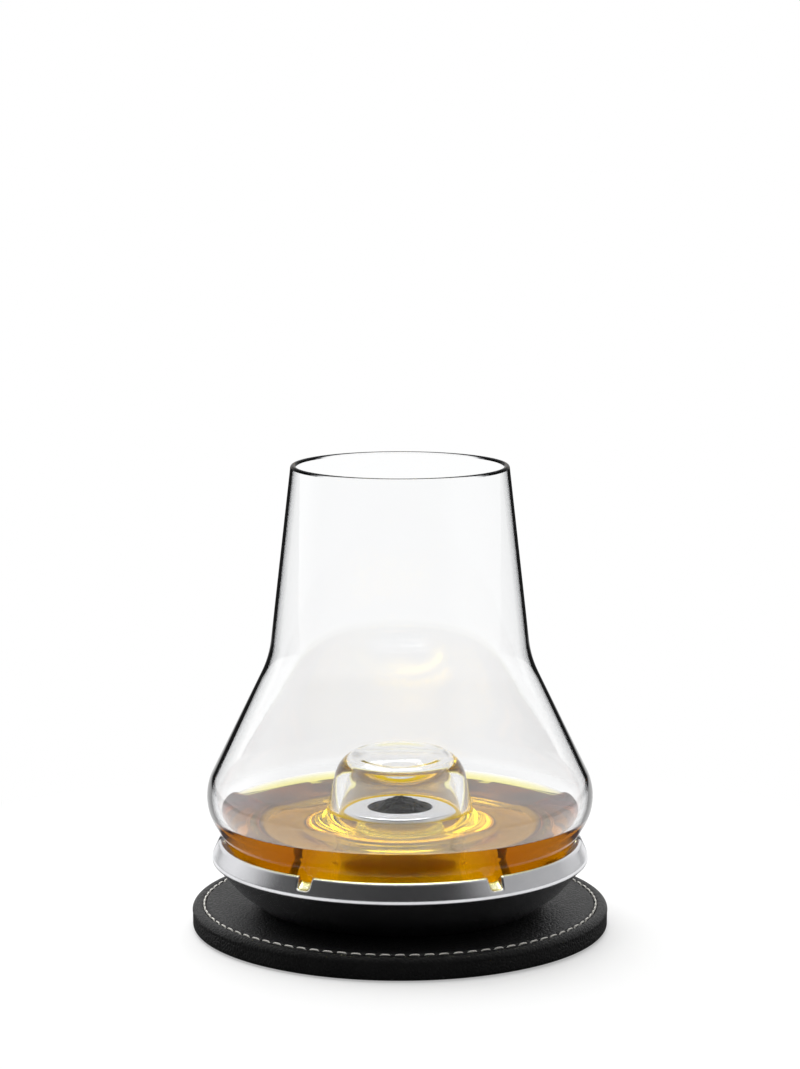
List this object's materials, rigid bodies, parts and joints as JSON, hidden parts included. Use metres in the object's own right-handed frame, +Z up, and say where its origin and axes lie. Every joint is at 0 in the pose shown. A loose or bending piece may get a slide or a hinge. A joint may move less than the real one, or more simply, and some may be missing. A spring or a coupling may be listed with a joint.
{
  "type": "whisky glass with cooler",
  "caption": "Clear tasting glass with a hollow domed punt and a measure of whisky, seated on a chilled metal cooler dish and a stitched leather coaster.",
  "frame": {"origin": "middle of the coaster's underside, on the table", "axes": "+Z up along the axis that all the pieces share, -Y towards the viewer"},
  "size_m": [0.12, 0.12, 0.1342],
  "materials": {
    "clear_glass": "polished, clear and colourless",
    "amber_whisky": null,
    "satin_metal": "satin",
    "dark_badge": "satin",
    "black_leather": "matte, fine grain",
    "core_board": "matte",
    "cream_thread": "matte"
  },
  "bodies": {
    "coaster": {"coaster_top_leather": "black_leather", "coaster_core": "core_board", "coaster_base_leather": "black_leather", "stitch_thread": "cream_thread", "bobbin_thread": "cream_thread"},
    "cooler": {"cooler_dish": "satin_metal", "cooler_badge": "dark_badge"},
    "glass": {"tasting_glass": "clear_glass", "whisky": "amber_whisky"}
  },
  "joints": [
    {"name": "cooler_lift", "type": "slide", "parent": "coaster", "child": "cooler", "axis": [0, 0, 1], "range_m": [0, 0.06]},
    {"name": "glass_lift", "type": "slide", "parent": "cooler", "child": "glass", "axis": [0, 0, 1], "range_m": [0, 0.08]}
  ]
}
